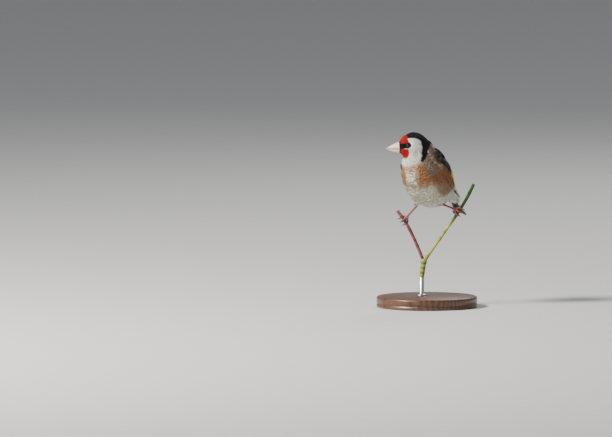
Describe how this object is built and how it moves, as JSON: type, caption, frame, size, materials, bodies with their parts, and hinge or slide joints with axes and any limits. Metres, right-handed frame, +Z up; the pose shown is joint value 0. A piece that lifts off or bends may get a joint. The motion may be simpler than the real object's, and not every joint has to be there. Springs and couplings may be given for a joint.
{
  "type": "european goldfinch figure",
  "caption": "Life-size still finch gripping both arms of a cut forked stem, head turned side-on, on a plain round display stand.",
  "frame": {"origin": "centre of the flat underside of the round stand", "axes": "+Z up; the bird's body looks along -Y and its left side is +X; its head is turned to its right"},
  "size_m": [0.084, 0.0894, 0.1471],
  "materials": {
    "plumage_face": "soft short feathers, red, black and white",
    "plumage_body": "soft loose feathers, tawny and white",
    "plumage_flight": "stiff black feathers with gold bars and white tips",
    "bill_horn": "smooth pale horn",
    "eye_gloss": "wet dark gloss",
    "leg_skin": "scaled pinkish skin",
    "perch_stem": "ridged green weed stem",
    "stand_wood": "dark waxed hardwood",
    "stand_metal": "brushed steel rod"
  },
  "bodies": {
    "root": {"head": "plumage_face", "neck": "plumage_body", "torso": "plumage_body", "tail": "plumage_flight", "bill_upper": "bill_horn", "bill_lower": "bill_horn", "eye_left": "eye_gloss", "eye_right": "eye_gloss", "wing_left": "plumage_flight", "wing_right": "plumage_flight", "thigh_left": "plumage_body", "thigh_right": "plumage_body", "shank_left": "leg_skin", "shank_right": "leg_skin", "foot_left": "leg_skin", "foot_right": "leg_skin", "perch_stem": "perch_stem", "perch_arm_left": "perch_stem", "perch_arm_right": "perch_stem", "stand_base": "stand_wood", "stand_rod": "stand_metal"}
  },
  "joints": []
}
